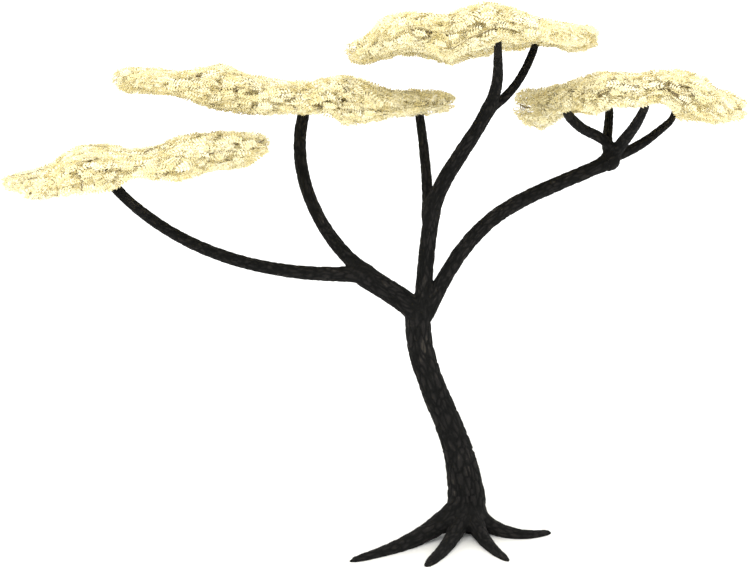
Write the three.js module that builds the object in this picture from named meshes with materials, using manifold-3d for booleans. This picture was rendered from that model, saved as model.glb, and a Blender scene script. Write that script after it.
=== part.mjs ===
// An umbrella-crowned acacia, 8 m tall: a leaning trunk on spread surface roots, curved boughs,
// and four flat masses of foliage. Millimetres, +Z up. The origin is the middle of the flat cut
// under the trunk, at ground level. +X is towards the crown's short side, -Y is the front.
import * as THREE from "three";
import { mergeVertices } from "three/addons/utils/BufferGeometryUtils.js";
import Module from "manifold-3d";

const wasm = await Module();
wasm.setup();
const { Manifold, Mesh } = wasm;

// Clearance where one piece meets the next.
const GAP = 0.3;
// Details finer than this are left out of a fused mass.
const SLIVER = 4;
const UP = new THREE.Vector3(0, 0, 1);

// The trunk widens towards the ground by this much, mostly over this height.
const TRUNK_FLARE = { extra: 105, height: 1150 };
// A collar at a limb's start and a knuckle at its end fade over these lengths.
const COLLAR_LENGTH = 300;
const KNUCKLE_LENGTH = 170;
// A limb that divides, or a root's tip, closes in a dome this many radii long. The dome isn't quite
// closed, so a small flat end is left.
const DOME = { limb: 1.2, root: 3, closed: 0.93 };
// Rings along a limb are about this many of its radii apart.
const RING_SPACING = 2.6;

// A limb's path is a cubic curve: its start, two pulls and its end. Its start lies inside the limb
// that carries it, and its own piece begins at the joint, a distance along the path. The radius
// tapers evenly, with a collar or a knuckle where it is thicker.
const LIMBS = [
  {
    name: "trunk",
    path: [[0, 0, 0], [40, -40, 1730], [-905, 140, 2230], [-780, 0, 3560]],
    radius: [200, 196],
    sides: 16,
  },
  {
    name: "left_bough",
    carriedBy: "trunk",
    path: [[-740, 0, 3330], [-980, 0, 3660], [-1415, 0, 3840], [-1760, 0, 4090]],
    radius: [172, 166],
    joint: 520,
  },
  {
    name: "long_left_bough",
    carriedBy: "left_bough",
    path: [[-1490, 0, 4030], [-2895, 0, 3930], [-4215, -820, 4365], [-5120, -900, 5395]],
    radius: [110, 76],
    collar: 48,
    joint: 640,
  },
  {
    name: "rising_left_bough",
    carriedBy: "left_bough",
    path: [[-1500, 0, 3965], [-2255, 150, 4460], [-2780, 700, 5460], [-2570, 900, 6345]],
    radius: [104, 96],
    collar: 40,
    joint: 700,
  },
  {
    name: "middle_bough",
    carriedBy: "trunk",
    path: [[-745, 0, 3300], [-700, 0, 3940], [-665, 0, 4505], [-570, 0, 5075]],
    radius: [124, 120],
    collar: 20,
    joint: 760,
  },
  {
    name: "middle_left_bough",
    carriedBy: "middle_bough",
    path: [[-650, 0, 4800], [-645, 100, 5360], [-690, 550, 5850], [-755, 700, 6340]],
    radius: [86, 70],
    collar: 15,
    joint: 800,
  },
  {
    name: "middle_right_bough",
    carriedBy: "middle_bough",
    path: [[-640, 0, 4810], [-485, -40, 5560], [10, -160, 5985], [235, -350, 6590]],
    radius: [128, 98],
    joint: 780,
  },
  {
    name: "top_left_branch",
    carriedBy: "middle_right_bough",
    path: [[175, -300, 6405], [335, -480, 6825], [280, -730, 6985], [255, -900, 7215]],
    radius: [100, 62],
    joint: 520,
  },
  {
    name: "top_right_branch",
    carriedBy: "middle_right_bough",
    path: [[170, -300, 6440], [585, -230, 6720], [740, -20, 6990], [885, 100, 7330]],
    radius: [68, 60],
    joint: 560,
  },
  {
    name: "right_bough",
    carriedBy: "trunk",
    path: [[-695, 0, 3310], [70, 10, 5170], [765, 300, 5035], [2235, 500, 5730]],
    radius: [120, 108],
    collar: 10,
    knuckle: 70,
    joint: 820,
  },
  {
    name: "right_branch_outer_left",
    carriedBy: "right_bough",
    path: [[2180, 500, 5880], [1920, 370, 6160], [1735, 190, 6060], [1415, -100, 6365]],
    radius: [80, 74],
    joint: 360,
  },
  {
    name: "right_branch_back",
    carriedBy: "right_bough",
    path: [[2125, 500, 5790], [2125, 740, 6020], [2220, 970, 6215], [2265, 1200, 6415]],
    radius: [84, 66],
    joint: 360,
  },
  {
    name: "right_branch_front",
    carriedBy: "right_bough",
    path: [[2180, 500, 5775], [2380, 270, 6095], [2370, -130, 6210], [2425, -400, 6470]],
    radius: [104, 64],
    joint: 380,
  },
  {
    name: "right_branch_outer_right",
    carriedBy: "right_bough",
    path: [[2180, 500, 5750], [2605, 540, 5870], [2885, 720, 6090], [3145, 900, 6270]],
    radius: [90, 58],
    joint: 380,
  },
];

// The shape that surface roots share. A root starts at a share of its reach. Its shoulder and its
// shin are the curve's two pulls: their shares of the reach, of the rise or of the tip's radius, and
// of the bend.
const ROOT_SHAPE = {
  start: 0.03,
  shoulder: { reach: 0.28, rise: 0.36, bend: 0.4 },
  shin: { reach: 0.6, radius: 0.35, bend: 1 },
  thinning: 0.8,
  sides: 8,
  steps: 8,
};
// Surface roots run out over the ground from the trunk's foot. Azimuth is from +X towards +Y, in
// degrees, and rise is where the root leaves the trunk. Bend bows it sideways, anticlockwise.
const ROOTS = [
  { azimuth: 217, reach: 2270, rise: 400, bend: 160, radius: [200, 64] },
  { azimuth: 245, reach: 1700, rise: 330, bend: 80, radius: [160, 74] },
  { azimuth: 290, reach: 1440, rise: 330, bend: -105, radius: [165, 60] },
  { azimuth: 348, reach: 1300, rise: 265, bend: -535, radius: [150, 64] },
  { azimuth: 75, reach: 1080, rise: 330, bend: 60, radius: [115, 36] },
  { azimuth: 99, reach: 950, rise: 330, bend: -60, radius: [115, 36] },
];

// A mass is a flat pad of foliage. Its reach is from end to end along X, its middle and half depth
// are along Y, and its spine gives the height of its mid surface and its half thickness at
// stations along X. Each stem grows on from a bough's tip and divides into that many ribs.
const MASSES = [
  {
    name: "foliage_low_left",
    seed: 11,
    reach: [-6720, -2890],
    middle: -900,
    halfDepth: 2000,
    spine: [
      [-6600, 5470, 190], [-6350, 5500, 140], [-6050, 5550, 145], [-5670, 5695, 265],
      [-5450, 5715, 300], [-5200, 5730, 280], [-5030, 5785, 165], [-4780, 5810, 105],
      [-4460, 5810, 180], [-4180, 5850, 280], [-3670, 5900, 295], [-3200, 5925, 300],
      [-3000, 5990, 260],
    ],
    stems: [{ bough: "long_left_bough", ribs: 10 }],
  },
  {
    name: "foliage_high_left",
    seed: 30,
    reach: [-5540, -160],
    middle: 900,
    halfDepth: 2500,
    spine: [
      [-5390, 6915, 315], [-4930, 6900, 230], [-4390, 6855, 200], [-4120, 6825, 285],
      [-3870, 6815, 360], [-3250, 6695, 280], [-2850, 6670, 245], [-2450, 6665, 235],
      [-2150, 6710, 255], [-1950, 6625, 385], [-1800, 6620, 385], [-1350, 6565, 240],
      [-1000, 6555, 225], [-450, 6580, 270],
    ],
    stems: [
      { bough: "rising_left_bough", ribs: 12 },
      { bough: "middle_left_bough", ribs: 8 },
    ],
  },
  {
    name: "foliage_top",
    seed: 50,
    reach: [-1920, 1770],
    middle: -400,
    halfDepth: 2200,
    spine: [
      [-1630, 7290, 230], [-1250, 7495, 340], [-1000, 7570, 290], [-740, 7545, 265],
      [-500, 7480, 310], [-380, 7470, 345], [-130, 7570, 330], [140, 7630, 350],
      [360, 7655, 270], [600, 7590, 235], [850, 7575, 160], [1100, 7525, 175],
      [1340, 7475, 240], [1550, 7470, 275],
    ],
    stems: [
      { bough: "top_left_branch", ribs: 8 },
      { bough: "top_right_branch", ribs: 8 },
    ],
  },
  {
    name: "foliage_right",
    seed: 48,
    reach: [630, 4220],
    middle: 500,
    halfDepth: 2000,
    spine: [
      [700, 6560, 400], [850, 6500, 415], [1080, 6465, 370], [1400, 6590, 270],
      [1550, 6670, 240], [1900, 6715, 340], [2200, 6790, 250], [2450, 6760, 260],
      [2850, 6815, 240], [3050, 6805, 265], [3200, 6690, 385], [3470, 6650, 380],
      [3650, 6570, 310], [3780, 6525, 280], [4000, 6485, 285],
    ],
    stems: [
      { bough: "right_branch_outer_left", ribs: 6 },
      { bough: "right_branch_back", ribs: 6 },
      { bough: "right_branch_front", ribs: 6 },
      { bough: "right_branch_outer_right", ribs: 6 },
    ],
  },
];

// The pad's shape: its rim is scalloped, its sides droop, and its thickness billows across and
// falls away to the rim, the later the higher the power.
const PAD = {
  scallops: 6, scallopDepth: 0.06, droop: 120, billowWidth: 1500, billow: 0.12, rimPower: 5,
};
// A pad's lumps aren't straight ridges across it. They fan out a little towards the back, from this
// place well in front of the tree.
const FAN = { x: -1450, y: -16500 };
// The dense heart of a pad, as shares of its spread and of its thickness.
const CORE = { spread: 0.9, thickness: 0.8, around: 20, layers: 6 };
// A stem carries on from a bough's tip, bends into the pad's mid surface and ends in its ribs.
const STEM = { straight: 160, run: 180, taper: 0.6, sides: 8, steps: 3 };
// Ribs run along the pad's mid surface to a share of its spread, in steps of about this length.
const RIB = { spread: 0.93, radius: [26, 12], step: 420, turnedAside: 0.12 };
// The first twig leaves a rib at this share of the twigs' spacing, and the last, a short one, at
// this share of the rib.
const FIRST_TWIG = 0.7;
const LAST_TWIG = { along: 0.9, length: 210 };
// Twigs leave a rib on alternate sides and rise or fall to a share of the pad's half thickness.
const TWIG = {
  spacing: 340, radius: [17, 8], length: [420, 760], angle: [35, 65], lift: 0.5, spread: 0.96,
};
// Each leaf stands for a spray of leaflets. It has a root, a tip, two edges and two faces' crests.
// Its length is this times a share between the longest and the shortest, and its tip is at least
// the spacing away from every other tip.
const LEAF = {
  length: 540, longest: 1.1, shortest: 0.55, shortening: 0.06, width: 300, thickness: 28,
  widest: 0.58, sunk: 0.14, roll: 25, turn: 12, spread: 0.995, spacing: 300,
};
// Leaves along a twig: the place along it, the turn away from its direction in degrees, and how far
// out the tip lies between the pad's mid surface, 0, and its skin on the twig's side, 1.
const LEAVES_ON_A_TWIG = [
  [0.97, 12, 0.85], [0.97, -35, 0.98], [0.8, 55, 0.98], [0.65, -60, 0.95], [0.4, 50, 0.98],
];
// A leaf or twig keeps this far from the boughs' bark.
const LIMB_CLEARANCE = 25;

const BARK = { color: 0x232321, roughness: 0.95, metalness: 0 };
const FOLIAGE = { color: 0xf1e4af, roughness: 0.8, metalness: 0 };

const radians = THREE.MathUtils.degToRad;
const mix = THREE.MathUtils.lerp;
const vector = (place) => new THREE.Vector3(...place);

// Solids

function solid(geometry) {
  geometry.deleteAttribute("normal");
  geometry.deleteAttribute("uv");
  const merged = mergeVertices(geometry, 1e-3);
  return new Manifold(
    new Mesh({
      numProp: 3,
      vertProperties: merged.attributes.position.array,
      triVerts: new Uint32Array(merged.index.array),
    }),
  );
}

// The pieces as one closed body. Slivers are smoothed away, and loose scraps and the walls of
// sealed hollows are left out.
function fused(pieces) {
  const bodies = Manifold.union(pieces).asOriginal().simplify(SLIVER).decompose();
  return bodies.reduce((best, body) => (body.volume() > best.volume() ? body : best));
}

function namedMesh(name, manifold, finish) {
  const { vertProperties, triVerts } = manifold.getMesh();
  const geometry = new THREE.BufferGeometry();
  geometry.setAttribute("position", new THREE.BufferAttribute(vertProperties, 3));
  geometry.setIndex(new THREE.BufferAttribute(triVerts, 1));
  geometry.computeVertexNormals();
  const mesh = new THREE.Mesh(geometry, new THREE.MeshStandardMaterial(finish));
  mesh.name = name;
  return mesh;
}

// A tapering tube: a cylinder whose rings are moved onto a curve, from one distance along it to
// another. The rings keep one side turned to the world axis that the curve runs along least.
function tube(curve, radiusAt, [from, to], sides, steps) {
  const length = curve.getLength();
  const chord = curve.getPointAt(1).sub(curve.getPointAt(0));
  const least = ["x", "y", "z"].reduce((a, b) => (Math.abs(chord[b]) < Math.abs(chord[a]) ? b : a));
  const reference = new THREE.Vector3();
  reference[least] = 1;
  const geometry = new THREE.CylinderGeometry(1, 1, 1, sides, steps);
  const position = geometry.attributes.position;
  for (let i = 0; i < position.count; i++) {
    const along = mix(from, to, position.getY(i) + 0.5);
    const share = THREE.MathUtils.clamp(along / length, 0, 1);
    const tangent = curve.getTangentAt(share);
    const side = new THREE.Vector3().crossVectors(tangent, reference).normalize();
    const other = new THREE.Vector3().crossVectors(side, tangent);
    const radius = radiusAt(along);
    const place = curve
      .getPointAt(share)
      .addScaledVector(side, position.getX(i) * radius)
      .addScaledVector(other, position.getZ(i) * radius);
    position.setXYZ(i, place.x, place.y, place.z);
  }
  return solid(geometry);
}

// A whole curve as a tube that tapers evenly.
function taperedTube(curve, [first, last], sides, steps) {
  const length = curve.getLength();
  return tube(curve, (along) => mix(first, last, along / length), [0, length], sides, steps);
}

// Limbs

// The share of its radius that a limb keeps over its last stretch, where it closes in a dome.
function closing(along, length, dome) {
  const past = Math.max(0, (along - (length - dome)) / dome);
  return Math.sqrt(1 - DOME.closed * past * past);
}

function readyLimb(limb) {
  const curve = new THREE.CubicBezierCurve3(...limb.path.map(vector));
  const length = curve.getLength();
  const divides = LIMBS.some((other) => other.carriedBy === limb.name);
  const [first, last] = limb.radius;
  const radiusAt = (along) => {
    const collar = (limb.collar ?? 0) * Math.exp(-along / COLLAR_LENGTH);
    const knuckle = (limb.knuckle ?? 0) * Math.exp(-(((length - along) / KNUCKLE_LENGTH) ** 2));
    const flare = limb.carriedBy ? 0 : TRUNK_FLARE.extra * Math.exp(-((along / TRUNK_FLARE.height) ** 2));
    const radius = mix(first, last, along / length) + collar + knuckle + flare;
    return divides ? radius * closing(along, length, DOME.limb * last) : radius;
  };
  return { sides: 10, joint: 0, ...limb, curve, length, radiusAt };
}

const limbs = new Map(LIMBS.map((limb) => [limb.name, readyLimb(limb)]));

function stretchOf(limb, from, to) {
  const steps = Math.max(2, Math.ceil((to - from) / (RING_SPACING * limb.radius[0])));
  return tube(limb.curve, limb.radiusAt, [from, to], limb.sides, steps);
}

// The limbs as balls along their centre lines, which twigs and leaves keep clear of.
const BALLS_ON_A_LIMB = 24;
const balls = [...limbs.values()].flatMap((limb) =>
  limb.curve.getSpacedPoints(BALLS_ON_A_LIMB).map((centre, i) => ({
    centre,
    radius: limb.radiusAt((i * limb.length) / BALLS_ON_A_LIMB),
  })),
);
const clearOfLimbs = (p) =>
  balls.every(({ centre, radius }) => centre.distanceTo(p) > radius + LIMB_CLEARANCE);

// A root: it leaves the trunk at its rise, comes down in a curve and runs out along the ground.
function rootSolid({ azimuth, reach, rise, bend, radius: [first, last] }) {
  const out = new THREE.Vector3(Math.cos(radians(azimuth)), Math.sin(radians(azimuth)), 0);
  const aside = new THREE.Vector3(-out.y, out.x, 0);
  const place = (share, sideways, height) =>
    out.clone().multiplyScalar(share * reach).addScaledVector(aside, sideways).setZ(height);
  const { start, shoulder, shin, thinning, sides, steps } = ROOT_SHAPE;
  const curve = new THREE.CubicBezierCurve3(
    place(start, 0, rise),
    place(shoulder.reach, shoulder.bend * bend, shoulder.rise * rise),
    place(shin.reach, shin.bend * bend, shin.radius * last),
    place(1, 0, 0),
  );
  const length = curve.getLength();
  const radiusAt = (along) =>
    mix(first, last, (along / length) ** thinning) * closing(along, length, DOME.root * last);
  return tube(curve, radiusAt, [0, length], sides, steps);
}

// A limb's node: its own stretch, fused with the stubs of the limbs that it carries.
function limbSolid(limb) {
  const children = [...limbs.values()].filter((other) => other.carriedBy === limb.name);
  const start = limb.joint ? limb.joint + GAP : 0;
  const pieces = [
    stretchOf(limb, start, limb.length),
    ...children.map((child) => stretchOf(child, 0, child.joint)),
  ];
  if (limb.carriedBy) return Manifold.union(pieces);
  return Manifold.union([...pieces, ...ROOTS.map(rootSolid)]).trimByPlane([0, 0, 1], 0);
}

// Foliage

// A repeatable source of numbers from 0 to 1.
function seeded(seed) {
  let state = seed;
  return () => {
    state = (state + 0x6d2b79f5) | 0;
    let t = Math.imul(state ^ (state >>> 15), 1 | state);
    t = (t + Math.imul(t ^ (t >>> 7), 61 | t)) ^ t;
    return ((t ^ (t >>> 14)) >>> 0) / 4294967296;
  };
}

// The space that a mass keeps to.
function padOf({ reach: [left, right], middle, halfDepth, spine }) {
  const centre = (left + right) / 2;
  const halfLength = (right - left) / 2;
  // Height of the mid surface (column 1) or half thickness (column 2), eased between stations.
  const atStation = (x, y, column) => {
    const along = FAN.x + ((x - FAN.x) * (middle - FAN.y)) / (y - FAN.y);
    const next = spine.findIndex((station) => station[0] > along);
    if (next === 0) return spine[0][column];
    if (next < 0) return spine.at(-1)[column];
    const [before, after] = [spine[next - 1], spine[next]];
    return mix(before[column], after[column], THREE.MathUtils.smoothstep(along, before[0], after[0]));
  };
  const scallop = (angle) => 1 - PAD.scallopDepth * (1 - Math.cos(PAD.scallops * angle));
  const rimAt = (angle) => [
    scallop(angle) * halfLength * Math.cos(angle),
    scallop(angle) * halfDepth * Math.sin(angle),
  ];
  // 0 at the pad's centre, 1 on its rim.
  const outward = (x, y) => {
    const [u, v] = [(x - centre) / halfLength, (y - middle) / halfDepth];
    return Math.hypot(u, v) / scallop(Math.atan2(v, u));
  };
  const midHeight = (x, y) => atStation(x, y, 1) - PAD.droop * ((y - middle) / halfDepth) ** 2;
  const halfAt = (x, y) => {
    const rounding = Math.sqrt(Math.max(0, 1 - outward(x, y) ** PAD.rimPower));
    const billow = 1 - PAD.billow * (1 - Math.cos((2 * Math.PI * (y - middle)) / PAD.billowWidth));
    return atStation(x, y, 2) * rounding * billow;
  };
  // A place in the pad: level 0 is on its mid surface, 1 on its upper skin and -1 on its lower.
  const place = (x, y, level) => new THREE.Vector3(x, y, midHeight(x, y) + level * halfAt(x, y));
  const holds = (p) => Math.abs(p.z - midHeight(p.x, p.y)) < halfAt(p.x, p.y);
  return { centre, middle, rimAt, outward, place, holds };
}

// The pad's dense heart: a sphere moved onto the pad's own surface, drawn in.
function coreSolid(pad) {
  const geometry = new THREE.SphereGeometry(1, CORE.around, CORE.layers);
  const position = geometry.attributes.position;
  for (let i = 0; i < position.count; i++) {
    const [east, north, up] = [position.getX(i), -position.getZ(i), position.getY(i)];
    const out = Math.min(1, Math.hypot(east, north));
    const [rimX, rimY] = pad.rimAt(Math.atan2(north, east));
    const x = pad.centre + CORE.spread * out * rimX;
    const y = pad.middle + CORE.spread * out * rimY;
    const rounding = Math.sqrt(1 - out ** PAD.rimPower);
    const { z } = pad.place(x, y, CORE.thickness * rounding * Math.sign(up));
    position.setXYZ(i, x, y, z);
  }
  return solid(geometry);
}

// The corners of a leaf from its root to its tip, with its flat side turned up and rolled a little.
function leafCorners(root, tip, roll) {
  const along = tip.clone().sub(root);
  const axis = along.clone().normalize();
  const side = new THREE.Vector3().crossVectors(along, UP).normalize().applyAxisAngle(axis, roll);
  const crest = new THREE.Vector3().crossVectors(axis, side);
  const heart = root.clone().addScaledVector(along, LEAF.widest);
  const halfWidth = (0.5 * LEAF.width * along.length()) / LEAF.length;
  const beside = (direction, distance) => heart.clone().addScaledVector(direction, distance);
  return [
    tip,
    root,
    beside(side, halfWidth),
    beside(side, -halfWidth),
    beside(crest, LEAF.thickness / 2),
    beside(crest, -LEAF.thickness / 2),
  ];
}

// A leaf of eight faces: an octahedron whose corners on +X, -X, +Y, -Y, +Z and -Z are moved.
function leafSolid(corners) {
  const geometry = new THREE.OctahedronGeometry(1);
  const position = geometry.attributes.position;
  for (let i = 0; i < position.count; i++) {
    const old = [position.getX(i), position.getY(i), position.getZ(i)];
    const axis = old.findIndex((part) => Math.abs(part) > 0.5);
    const corner = corners[2 * axis + (old[axis] > 0 ? 0 : 1)];
    position.setXYZ(i, corner.x, corner.y, corner.z);
  }
  return solid(geometry);
}

// A leaf's tip lies just under the pad's skin. The leaf is shortened until it keeps to the pad,
// clear of the limbs and of other leaves' tips, or it is skipped.
function addLeaf({ pad, random, pieces, tips }, base, azimuth, level) {
  const roll = radians(mix(-LEAF.roll, LEAF.roll, random()));
  for (let share = LEAF.longest; share > LEAF.shortest; share -= LEAF.shortening) {
    const x = base.x + share * LEAF.length * Math.cos(azimuth);
    const y = base.y + share * LEAF.length * Math.sin(azimuth);
    if (pad.outward(x, y) > LEAF.spread) continue;
    const tip = pad.place(x, y, level);
    const root = base.clone().addScaledVector(tip.clone().sub(base), -LEAF.sunk);
    const corners = leafCorners(root, tip, roll);
    const fits = corners.slice(2).every((corner) => pad.holds(corner)) && corners.every(clearOfLimbs);
    if (!fits || tips.some((other) => other.distanceTo(tip) < LEAF.spacing)) continue;
    pieces.push(leafSolid(corners));
    tips.push(tip);
    return;
  }
}

// A twig and its leaves, on the upper side of the pad where side is 1 and on the lower where -1.
function addTwig(growth, root, azimuth, length, side) {
  const { pad, random, pieces } = growth;
  const x = root.x + length * Math.cos(azimuth);
  const y = root.y + length * Math.sin(azimuth);
  const end = pad.place(x, y, side * TWIG.lift);
  if (pad.outward(x, y) > TWIG.spread || !clearOfLimbs(end)) return;
  const path = new THREE.LineCurve3(root, end);
  pieces.push(taperedTube(path, TWIG.radius, 3, 1));
  for (const [along, turn, level] of LEAVES_ON_A_TWIG) {
    const turned = azimuth + radians(turn + mix(-LEAF.turn, LEAF.turn, random()));
    addLeaf(growth, path.getPoint(along), turned, side * level);
  }
}

// A rib runs out over the ground that is nearer to its own stem than to the mass's other stems.
function addRib(growth, stem, azimuth) {
  const { pad, random, pieces, stems } = growth;
  const at = (distance) =>
    pad.place(stem.head.x + distance * Math.cos(azimuth), stem.head.y + distance * Math.sin(azimuth), 0);
  const distanceTo = ({ head }, p) => Math.hypot(head.x - p.x, head.y - p.y);
  const ownGround = (p) => stems.every((other) => distanceTo(other, p) >= distanceTo(stem, p));
  let reach = 0;
  for (let next = at(0); pad.outward(next.x, next.y) < RIB.spread && ownGround(next); next = at(reach)) {
    reach += RIB.step / 8;
  }
  const steps = Math.round(reach / RIB.step);
  if (steps < 1) return;
  const places = Array.from({ length: steps + 1 }, (_, i) => at((i * reach) / steps));
  pieces.push(taperedTube(new THREE.CatmullRomCurve3(places), RIB.radius, 3, steps));
  for (let along = FIRST_TWIG * TWIG.spacing, twig = 0; along < reach; along += TWIG.spacing, twig++) {
    const turn = (twig % 2 ? 1 : -1) * radians(mix(...TWIG.angle, random()));
    const side = twig % 4 < 2 ? 1 : -1;
    addTwig(growth, at(along), azimuth + turn, mix(...TWIG.length, random()), side);
  }
  addTwig(growth, at(LAST_TWIG.along * reach), azimuth, LAST_TWIG.length, 1);
}

// Where a stem starts, clear of its bough's tip, and where it meets the pad's mid surface.
function stemOn(pad, { bough, ribs }) {
  const limb = limbs.get(bough);
  const heading = limb.curve.getTangentAt(1);
  const beyond = (distance) => limb.curve.getPointAt(1).addScaledVector(heading, distance);
  const end = beyond(STEM.run);
  return {
    ribs,
    radius: limb.radiusAt(limb.length),
    foot: beyond(GAP),
    knee: beyond(STEM.straight),
    head: pad.place(end.x, end.y, 0),
  };
}

function growMass(mass) {
  const pad = padOf(mass);
  const stems = mass.stems.map((stem) => stemOn(pad, stem));
  const growth = { pad, stems, random: seeded(mass.seed), pieces: [coreSolid(pad)], tips: [] };
  for (const stem of stems) {
    const path = new THREE.QuadraticBezierCurve3(stem.foot, stem.knee, stem.head);
    growth.pieces.push(taperedTube(path, [stem.radius, STEM.taper * stem.radius], STEM.sides, STEM.steps));
    for (let rib = 0; rib < stem.ribs; rib++) {
      const turnedAside = mix(-RIB.turnedAside, RIB.turnedAside, growth.random());
      addRib(growth, stem, ((rib + turnedAside) * 2 * Math.PI) / stem.ribs);
    }
  }
  return fused(growth.pieces);
}

// The tree

const tree = new THREE.Group();
tree.name = "acacia_tree";
for (const limb of limbs.values()) tree.add(namedMesh(limb.name, limbSolid(limb), BARK));
for (const mass of MASSES) tree.add(namedMesh(mass.name, growMass(mass), FOLIAGE));

export default tree;
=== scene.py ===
import math

import bpy
import numpy as np
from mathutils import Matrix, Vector, kdtree, noise


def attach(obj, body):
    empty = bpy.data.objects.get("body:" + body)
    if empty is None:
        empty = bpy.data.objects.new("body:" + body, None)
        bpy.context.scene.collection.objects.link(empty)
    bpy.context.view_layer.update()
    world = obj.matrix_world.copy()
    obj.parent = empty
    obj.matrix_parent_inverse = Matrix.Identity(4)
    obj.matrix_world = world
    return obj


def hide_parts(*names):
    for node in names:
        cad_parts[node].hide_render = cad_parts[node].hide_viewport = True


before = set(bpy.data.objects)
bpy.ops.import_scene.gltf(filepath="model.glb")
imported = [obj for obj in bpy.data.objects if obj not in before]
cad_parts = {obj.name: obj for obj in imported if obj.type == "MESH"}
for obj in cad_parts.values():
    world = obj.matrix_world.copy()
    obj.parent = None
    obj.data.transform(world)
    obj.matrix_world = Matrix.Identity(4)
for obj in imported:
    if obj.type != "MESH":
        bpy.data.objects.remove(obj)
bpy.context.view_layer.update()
bpy.ops.object.select_all(action="DESELECT")

UP = np.array([0.0, 0.0, 1.0])

# The trunk widens towards the ground by this much, mostly over this height.
TRUNK_FLARE = 0.105
FLARE_HEIGHT = 1.150
# A collar at a limb's start and a knuckle at its end fade over these lengths.
COLLAR_LENGTH = 0.300
KNUCKLE_LENGTH = 0.170
# A limb that divides, or a root's tip, closes in a dome this many radii long. A limb or root that
# another carries also opens in a dome, inside the other.
LIMB_DOME = 1.2
ROOT_DOME = 3
START_DOME = 1.4
DOME_CLOSED = 0.93
# A centre line's curve is followed at this many points, and then kept at even steps.
CURVE_POINTS = 400
LIMB_STEPS = 40
ROOT_STEPS = 24
STEM_STEPS = 6

# A limb's path is a cubic curve: its start, two pulls and its end. Its radius tapers evenly, with a
# collar or a knuckle where it is thicker.
LIMBS = {
    "trunk": {
        "path": [(0, 0, 0), (0.04, -0.04, 1.73), (-0.905, 0.14, 2.23), (-0.78, 0, 3.56)],
        "radius": (0.200, 0.196),
    },
    "left_bough": {
        "carried_by": "trunk",
        "path": [(-0.74, 0, 3.33), (-0.98, 0, 3.66), (-1.415, 0, 3.84), (-1.76, 0, 4.09)],
        "radius": (0.172, 0.166),
    },
    "long_left_bough": {
        "carried_by": "left_bough",
        "path": [(-1.49, 0, 4.03), (-2.895, 0, 3.93), (-4.215, -0.82, 4.365), (-5.12, -0.90, 5.395)],
        "radius": (0.110, 0.076),
        "collar": 0.048,
    },
    "rising_left_bough": {
        "carried_by": "left_bough",
        "path": [(-1.50, 0, 3.965), (-2.255, 0.15, 4.46), (-2.78, 0.70, 5.46), (-2.57, 0.90, 6.345)],
        "radius": (0.104, 0.096),
        "collar": 0.040,
    },
    "middle_bough": {
        "carried_by": "trunk",
        "path": [(-0.745, 0, 3.30), (-0.70, 0, 3.94), (-0.665, 0, 4.505), (-0.57, 0, 5.075)],
        "radius": (0.124, 0.120),
        "collar": 0.020,
    },
    "middle_left_bough": {
        "carried_by": "middle_bough",
        "path": [(-0.65, 0, 4.80), (-0.645, 0.10, 5.36), (-0.69, 0.55, 5.85), (-0.755, 0.70, 6.34)],
        "radius": (0.086, 0.070),
        "collar": 0.015,
    },
    "middle_right_bough": {
        "carried_by": "middle_bough",
        "path": [(-0.64, 0, 4.81), (-0.485, -0.04, 5.56), (0.01, -0.16, 5.985), (0.235, -0.35, 6.59)],
        "radius": (0.128, 0.098),
    },
    "top_left_branch": {
        "carried_by": "middle_right_bough",
        "path": [
            (0.175, -0.3, 6.405),
            (0.335, -0.48, 6.825),
            (0.28, -0.73, 6.985),
            (0.255, -0.9, 7.215),
        ],
        "radius": (0.100, 0.062),
    },
    "top_right_branch": {
        "carried_by": "middle_right_bough",
        "path": [(0.17, -0.30, 6.44), (0.585, -0.23, 6.72), (0.74, -0.02, 6.99), (0.885, 0.10, 7.33)],
        "radius": (0.068, 0.060),
    },
    "right_bough": {
        "carried_by": "trunk",
        "path": [(-0.695, 0, 3.31), (0.07, 0.01, 5.17), (0.765, 0.30, 5.035), (2.235, 0.50, 5.73)],
        "radius": (0.120, 0.108),
        "collar": 0.010,
        "knuckle": 0.070,
    },
    "right_branch_outer_left": {
        "carried_by": "right_bough",
        "path": [(2.18, 0.50, 5.88), (1.92, 0.37, 6.16), (1.735, 0.19, 6.06), (1.415, -0.10, 6.365)],
        "radius": (0.080, 0.074),
    },
    "right_branch_back": {
        "carried_by": "right_bough",
        "path": [(2.125, 0.50, 5.79), (2.125, 0.74, 6.02), (2.22, 0.97, 6.215), (2.265, 1.20, 6.415)],
        "radius": (0.084, 0.066),
    },
    "right_branch_front": {
        "carried_by": "right_bough",
        "path": [(2.18, 0.50, 5.775), (2.38, 0.27, 6.095), (2.37, -0.13, 6.21), (2.425, -0.40, 6.47)],
        "radius": (0.104, 0.064),
    },
    "right_branch_outer_right": {
        "carried_by": "right_bough",
        "path": [(2.18, 0.50, 5.75), (2.605, 0.54, 5.87), (2.885, 0.72, 6.09), (3.145, 0.90, 6.27)],
        "radius": (0.090, 0.058),
    },
}

# Surface roots run out over the ground from the trunk's foot: azimuth from +X towards +Y in
# degrees, reach, the height where the root leaves the trunk, sideways bend, and two radii.
ROOTS = [
    (217, 2.27, 0.40, 0.16, (0.200, 0.064)),
    (245, 1.70, 0.33, 0.08, (0.160, 0.074)),
    (290, 1.44, 0.33, -0.105, (0.165, 0.060)),
    (348, 1.30, 0.265, -0.535, (0.150, 0.064)),
    (75, 1.08, 0.33, 0.06, (0.115, 0.036)),
    (99, 0.95, 0.33, -0.06, (0.115, 0.036)),
]
ROOT_START = 0.03
# A root's shoulder and shin are its curve's two pulls, as shares of its reach and of its bend. The
# shoulder's height is a share of the rise, and the shin's is one of the tip's radius.
ROOT_SHOULDER = {"reach": 0.28, "bend": 0.4, "height": 0.36}
ROOT_SHIN = {"reach": 0.6, "bend": 1.0, "height": 0.35}
ROOT_THINNING = 0.8

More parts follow.
